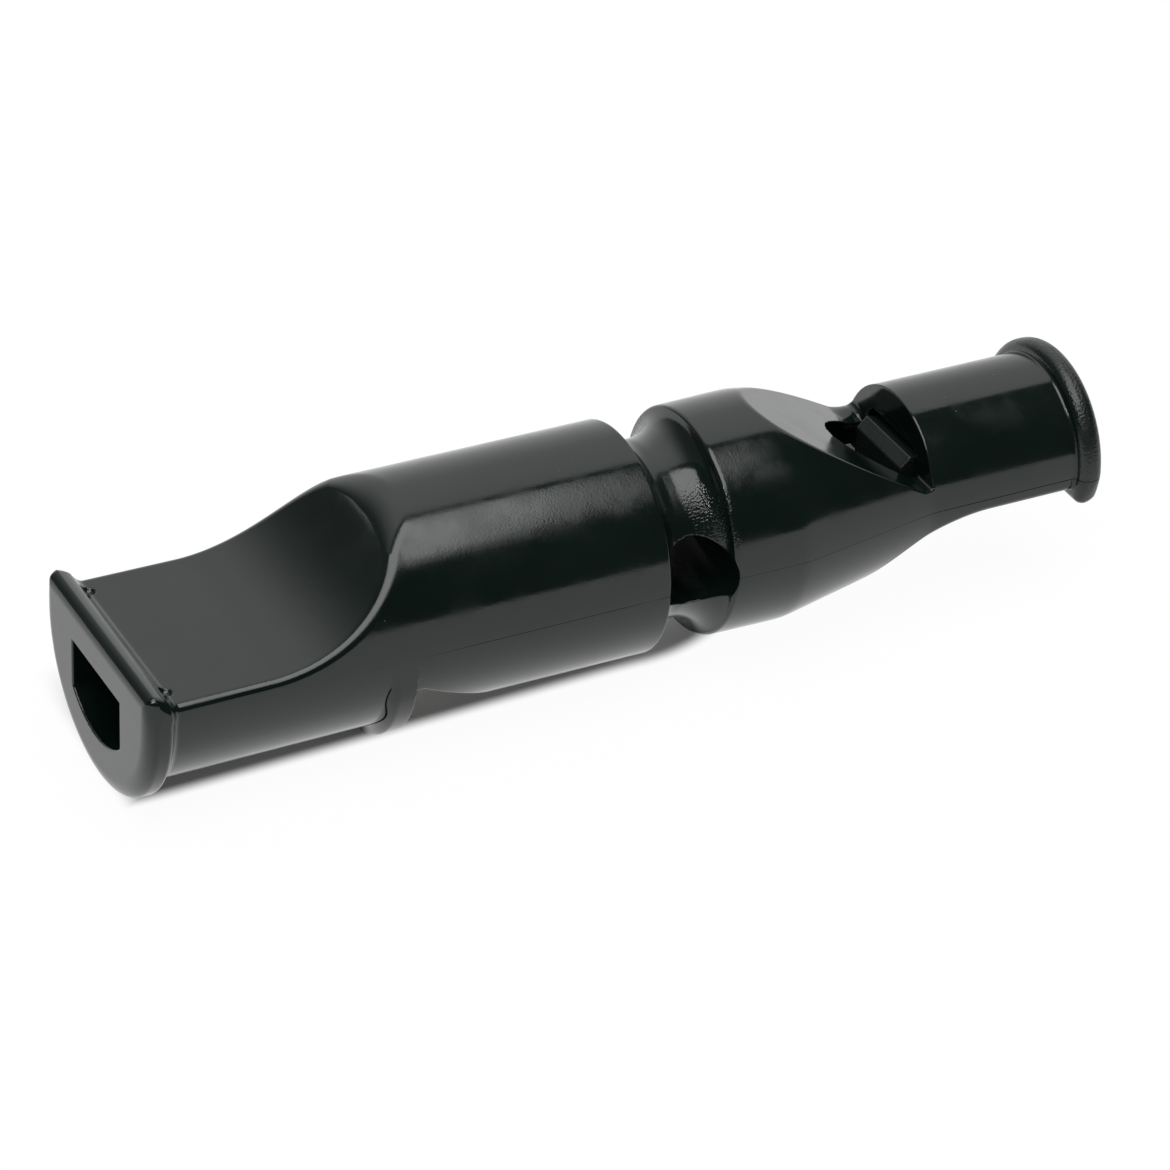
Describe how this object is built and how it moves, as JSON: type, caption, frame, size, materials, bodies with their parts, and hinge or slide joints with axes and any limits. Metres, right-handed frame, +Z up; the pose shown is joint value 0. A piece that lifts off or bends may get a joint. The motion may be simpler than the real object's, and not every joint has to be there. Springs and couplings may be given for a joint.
{
  "type": "dog whistle",
  "caption": "Double-ended moulded plastic dog whistle with a pea-trill end, a plain end and a waist with a hole for a cord.",
  "frame": {"origin": "centre of the bounding box in plan, at the lowest point, where the whistle lies on a table", "axes": "+X along the whistle from the large mouth to the small one, +Z up out of the large mouthpiece's flat side"},
  "size_m": [0.094, 0.023, 0.0225],
  "materials": {
    "shell_plastic": "semi-gloss moulded",
    "block_plastic": "semi-gloss moulded",
    "cork": "matt cork"
  },
  "bodies": {
    "body": {"upper_shell": "shell_plastic", "lower_shell": "shell_plastic", "trill_windway_block": "block_plastic", "plain_windway_block": "block_plastic"},
    "rattle": {"pea": "cork"}
  },
  "joints": [
    {"name": "pea_run", "type": "slide", "parent": "body", "child": "rattle", "axis": [1, 0, 0], "range_m": [-0.0048, 0.0048]}
  ]
}
